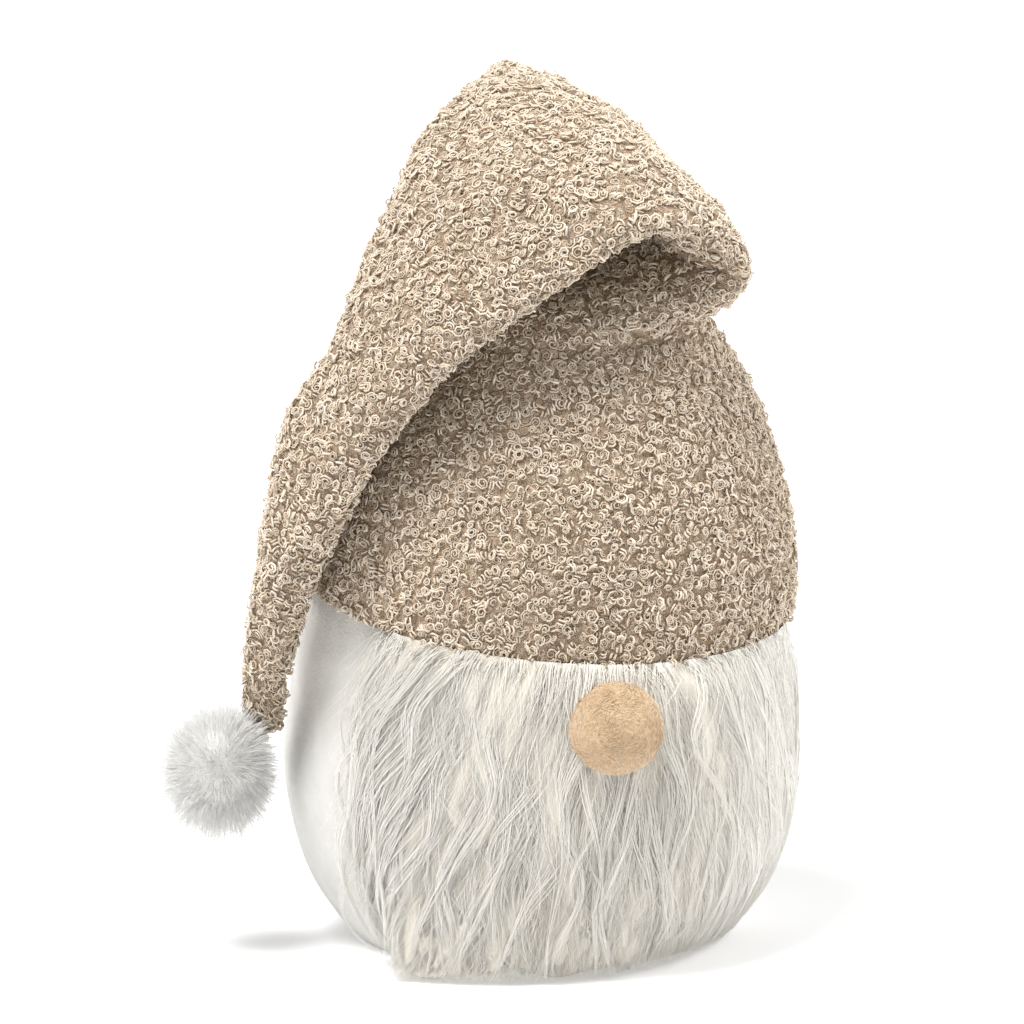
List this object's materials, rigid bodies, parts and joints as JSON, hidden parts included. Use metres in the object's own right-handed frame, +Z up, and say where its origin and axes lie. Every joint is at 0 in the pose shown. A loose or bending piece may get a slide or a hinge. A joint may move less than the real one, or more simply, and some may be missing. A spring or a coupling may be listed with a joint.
{
  "type": "tomte gnome figurine",
  "caption": "Stuffed tomte gnome with a weighted egg-shaped body, long fur beard, ball nose and a tall curly cap that folds over to a hanging tail with a pompom.",
  "frame": {"origin": "centre of the flat base, on the surface the gnome stands on", "axes": "+Z up the body's axis; -Y the way the nose faces; the cap's tail hangs on the -X side"},
  "size_m": [0.256, 0.2306, 0.3423],
  "materials": {
    "knit_ground": "flat knitted ground under the pile",
    "body_plush": "short dense minky pile, matt",
    "beard_fur": "long straight faux-fur pile with a soft sheen",
    "nose_plush": "short velvety pile, matt",
    "boucle": "curly looped boucle pile, matt",
    "pompom_fur": "dense fluffy faux fur",
    "fibrefill": "loose fibre",
    "lining": "plain woven",
    "pellets": "small smooth beads",
    "thread": "matt spun thread"
  },
  "bodies": {
    "figure": {"beard_ground": "knit_ground", "back_panel_left": "body_plush", "back_panel_right": "body_plush", "base_panel": "body_plush", "fibre_filling": "fibrefill", "pellet_bag": "lining", "pellets": "pellets", "closing_stitches": "thread", "beard_pile": "beard_fur", "nose_cover": "nose_plush", "nose_filling": "fibrefill", "nose_thread": "thread", "cap_crown": "boucle", "cap_stitches": "thread", "cap_filling": "fibrefill"},
    "tail": {"tail_upper": "boucle"},
    "tail_end": {"tail_lower": "boucle", "tail_gather": "thread"},
    "pompom": {"pompom_fur": "pompom_fur", "pompom_filling": "fibrefill", "pompom_tie": "thread"}
  },
  "joints": [
    {"name": "tail_swing", "type": "hinge", "parent": "figure", "child": "tail", "pos_m": [-0.01883, -0.03844, 0.32469], "axis": [-0.4935, 0.853, 0.1699], "range_deg": [0, 55]},
    {"name": "tail_bend", "type": "hinge", "parent": "tail", "child": "tail_end", "pos_m": [-0.10685, -0.05002, 0.22273], "axis": [-0.3147, 0.8919, 0.3247], "range_deg": [0, 40]},
    {"name": "pompom_swing", "type": "hinge", "parent": "tail_end", "child": "pompom", "pos_m": [-0.11322, -0.00094, 0.085], "axis": [-0.2084, 0.9781, 0], "range_deg": [0, 18]}
  ]
}
